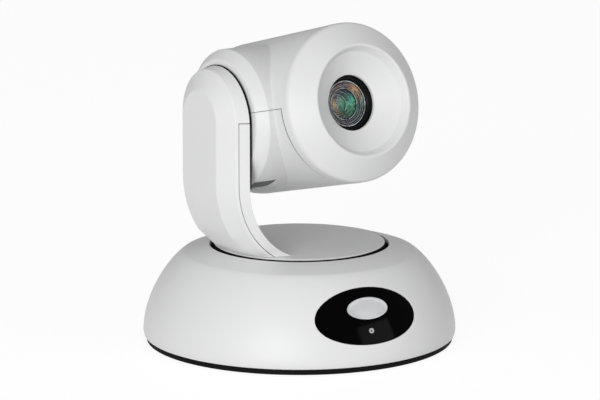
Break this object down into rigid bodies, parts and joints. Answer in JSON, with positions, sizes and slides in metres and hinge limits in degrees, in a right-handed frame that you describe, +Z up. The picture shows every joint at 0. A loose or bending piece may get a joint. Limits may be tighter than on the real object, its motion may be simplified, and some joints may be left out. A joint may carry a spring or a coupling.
{
  "type": "pan tilt zoom camera",
  "caption": "White conference-room camera: domed round base, turntable with one curved side arm, and a drum-shaped camera head that pans, tilts and zooms.",
  "frame": {"origin": "centre of the base's underside, on the surface that it stands on", "axes": "+Z up along the pan axis; the base's front, with the dark oval window, faces -Y; the arm is on the -X side"},
  "size_m": [0.1802, 0.1802, 0.1882],
  "materials": {
    "white_plastic": "fine satin moulded",
    "black_gloss": "polished dark infrared-clear window",
    "black_plastic": "fine textured black moulding",
    "rubber": "matte",
    "silver": "satin silver",
    "light_pipe": "clear diffusing",
    "steel": "plated",
    "alloy": "die cast",
    "board": "solder-masked board",
    "glass": "coated optical glass",
    "brass": "machined",
    "gear_plastic": "acetal",
    "motor": "dark plated can"
  },
  "bodies": {
    "base": {"base_shell": "white_plastic", "ir_window": "black_gloss", "status_light": "light_pipe", "badge": "silver", "ir_receiver": "black_plastic", "bottom_plate": "black_plastic", "foot_ring": "rubber", "bottom_screw_1": "steel", "bottom_screw_2": "steel", "bottom_screw_3": "steel", "bottom_screw_4": "steel", "hdmi_port": "steel", "usb_port": "steel", "network_port": "steel", "control_port": "steel", "power_inlet": "black_plastic", "selector_case": "black_plastic", "rear_panel": "black_plastic", "main_board": "board", "pan_deck": "alloy", "pan_bearing": "steel", "pan_motor": "motor"},
    "pan_pinion": {"pan_pinion": "brass"},
    "selector_dial": {"selector_dial": "white_plastic"},
    "yoke": {"turntable": "white_plastic", "pan_gear": "gear_plastic", "pan_spindle": "alloy", "arm_screw_1": "steel", "arm_screw_2": "steel", "arm_shell": "white_plastic", "arm_cover": "white_plastic", "arm_bracket": "steel", "tilt_axle": "steel", "tilt_gear": "gear_plastic"},
    "head": {"head_upper_shell": "white_plastic", "head_lower_shell": "white_plastic", "front_bezel": "white_plastic", "head_screw_1": "steel", "head_screw_2": "steel", "head_frame": "alloy", "tilt_bearing": "steel", "tilt_motor": "motor", "lens_barrel": "black_plastic", "lens_trim_ring": "black_plastic", "front_cell": "black_plastic", "front_lens": "glass", "guide_rod_1": "steel", "guide_rod_2": "steel", "camera_block": "black_plastic", "image_sensor": "black_gloss", "sensor_board": "board", "heat_sink": "alloy", "video_board": "board", "zoom_motor": "motor", "focus_motor": "motor"},
    "tilt_pinion": {"tilt_pinion": "brass"},
    "zoom_group": {"zoom_cell": "black_plastic", "zoom_lens": "glass"},
    "focus_group": {"focus_cell": "black_plastic", "focus_lens": "glass"}
  },
  "joints": [
    {"name": "pan", "type": "hinge", "parent": "base", "child": "yoke", "pos_m": [0, 0, 0.05], "axis": [0, 0, 1], "range_deg": [-162.6, 147.4]},
    {"name": "pan_drive", "type": "hinge", "parent": "base", "child": "pan_pinion", "pos_m": [-0.0424, 0, 0.048], "axis": [0, 0, 1], "range_deg": [-884.5, 975.7]},
    {"name": "tilt", "type": "hinge", "parent": "yoke", "child": "head", "pos_m": [0, 0, 0.1321], "axis": [-0.9912, -0.1323, 0], "range_deg": [-43.6, 76.4]},
    {"name": "tilt_drive", "type": "hinge", "parent": "head", "child": "tilt_pinion", "pos_m": [-0.05375, 0.01575, 0.141], "axis": [-0.9912, -0.1323, 0], "range_deg": [-130.9, 229.3]},
    {"name": "zoom", "type": "slide", "parent": "head", "child": "zoom_group", "axis": [0.1285, -0.9634, 0.2351], "range_m": [-0.014, 0.003]},
    {"name": "focus", "type": "slide", "parent": "head", "child": "focus_group", "axis": [0.1285, -0.9634, 0.2351], "range_m": [-0.004, 0.004]},
    {"name": "selector", "type": "hinge", "parent": "base", "child": "selector_dial", "pos_m": [-0.024, 0.066, 0.0154], "axis": [0, 1, 0], "continuous": true}
  ],
  "couplings": [
    {"joint": "pan_drive", "follows": "pan", "ratio": -6},
    {"joint": "tilt_drive", "follows": "tilt", "ratio": 3}
  ]
}
